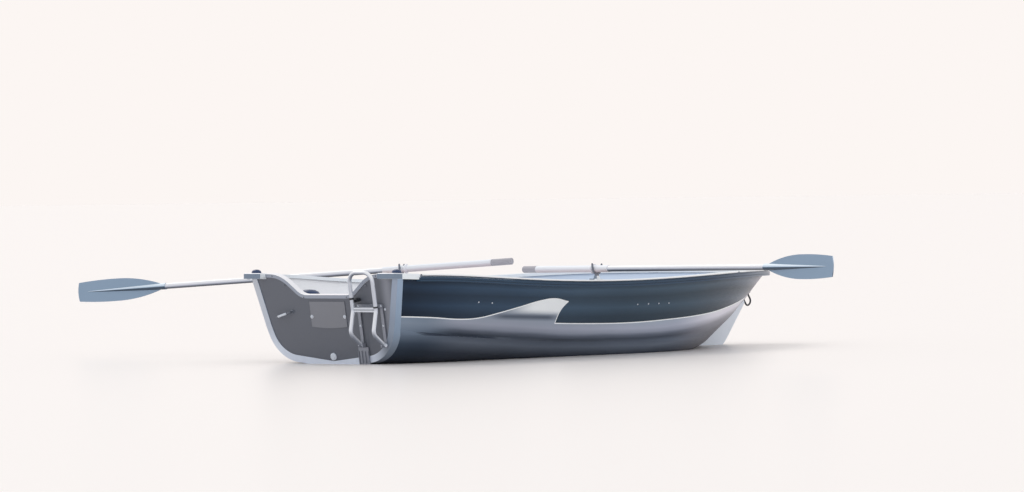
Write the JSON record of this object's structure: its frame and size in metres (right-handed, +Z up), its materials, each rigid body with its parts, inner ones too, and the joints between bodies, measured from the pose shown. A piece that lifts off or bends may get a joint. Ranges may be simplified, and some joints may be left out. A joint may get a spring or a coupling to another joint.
{
  "type": "rowing boat",
  "caption": "Open aluminium rowing boat afloat, with a raked transom cut out for a motor, thwarts, oars in swivelling oarlocks and a folding boarding ladder.",
  "frame": {"origin": "on the centreline at the water plane, 1.9 m forward of the transom's foot", "axes": "+X forward, +Y to port, +Z up; the boat floats trimmed 2.5 degrees bow down, as in the picture"},
  "size_m": [4.2237, 5.7035, 0.734],
  "materials": {
    "hull_skin": "satin sheet with a dark slate-blue painted band",
    "gunwale": "extrusion, dark outer face",
    "transom": "dark grey satin",
    "motor_pad": "grey satin",
    "trim_alloy": "satin extrusion",
    "casting": "cast, satin",
    "blue_plastic": "dark blue",
    "inner_alloy": "satin sheet",
    "fitting_steel": "satin",
    "oar_tube": "drawn tube",
    "oar_sleeve": "pale grey",
    "grip": "grey",
    "blade": "blue-grey",
    "black_rubber": "black",
    "white_plastic": "pale grey",
    "ladder_tube": "bright tube",
    "ladder_bracket": "dull"
  },
  "bodies": {
    "boat": {"bow_eye": "fitting_steel", "bow_plate": "inner_alloy", "corner_casting_port": "casting", "corner_casting_starboard": "casting", "corner_knob_port": "blue_plastic", "corner_knob_starboard": "blue_plastic", "drain_plug": "white_plastic", "floor_frame": "inner_alloy", "gunwale_port": "gunwale", "gunwale_starboard": "gunwale", "hatch_lid": "blue_plastic", "hull_port": "hull_skin", "hull_starboard": "hull_skin", "keel": "trim_alloy", "ladder_cradle": "black_rubber", "ladder_foot": "ladder_bracket", "ladder_frame": "ladder_bracket", "motor_pad_inner": "motor_pad", "motor_pad_outer": "motor_pad", "oar_socket_port": "casting", "oar_socket_starboard": "casting", "thwart_aft": "inner_alloy", "thwart_bow": "inner_alloy", "thwart_mid": "inner_alloy", "transom": "transom", "transom_handle": "fitting_steel", "transom_rim": "trim_alloy", "transom_trim": "trim_alloy"},
    "oarlock_port": {"oarlock_port": "fitting_steel"},
    "oarlock_starboard": {"oarlock_starboard": "fitting_steel"},
    "oar_port": {"oar_port_blade": "blade", "oar_port_grip": "grip", "oar_port_shaft": "oar_tube", "oar_port_sleeve": "oar_sleeve"},
    "oar_starboard": {"oar_starboard_blade": "blade", "oar_starboard_grip": "grip", "oar_starboard_shaft": "oar_tube", "oar_starboard_sleeve": "oar_sleeve"},
    "ladder": {"ladder_hoop": "ladder_tube", "ladder_tread": "ladder_tube"}
  },
  "joints": [
    {"name": "swing_port", "type": "hinge", "parent": "boat", "child": "oarlock_port", "pos_m": [-0.45921, 0.743, 0.50598], "axis": [0.0436, 0, 0.999], "range_deg": [-75.2, 44.8]},
    {"name": "swing_starboard", "type": "hinge", "parent": "boat", "child": "oarlock_starboard", "pos_m": [-0.45921, -0.743, 0.50598], "axis": [-0.0436, 0, -0.999], "range_deg": [-75.2, 44.8]},
    {"name": "lift_port", "type": "hinge", "parent": "oarlock_port", "child": "oar_port", "pos_m": [-0.45921, 0.743, 0.50598], "axis": [0.9641, 0.2622, -0.0421], "range_deg": [-16, 16]},
    {"name": "lift_starboard", "type": "hinge", "parent": "oarlock_starboard", "child": "oar_starboard", "pos_m": [-0.45921, -0.743, 0.50598], "axis": [-0.9641, 0.2622, 0.0421], "range_deg": [-19.9, 12.1]},
    {"name": "ladder_fold", "type": "hinge", "parent": "boat", "child": "ladder", "pos_m": [-1.94183, -0.321, 0.1087], "axis": [0, -1, 0], "range_deg": [0, 118]}
  ]
}
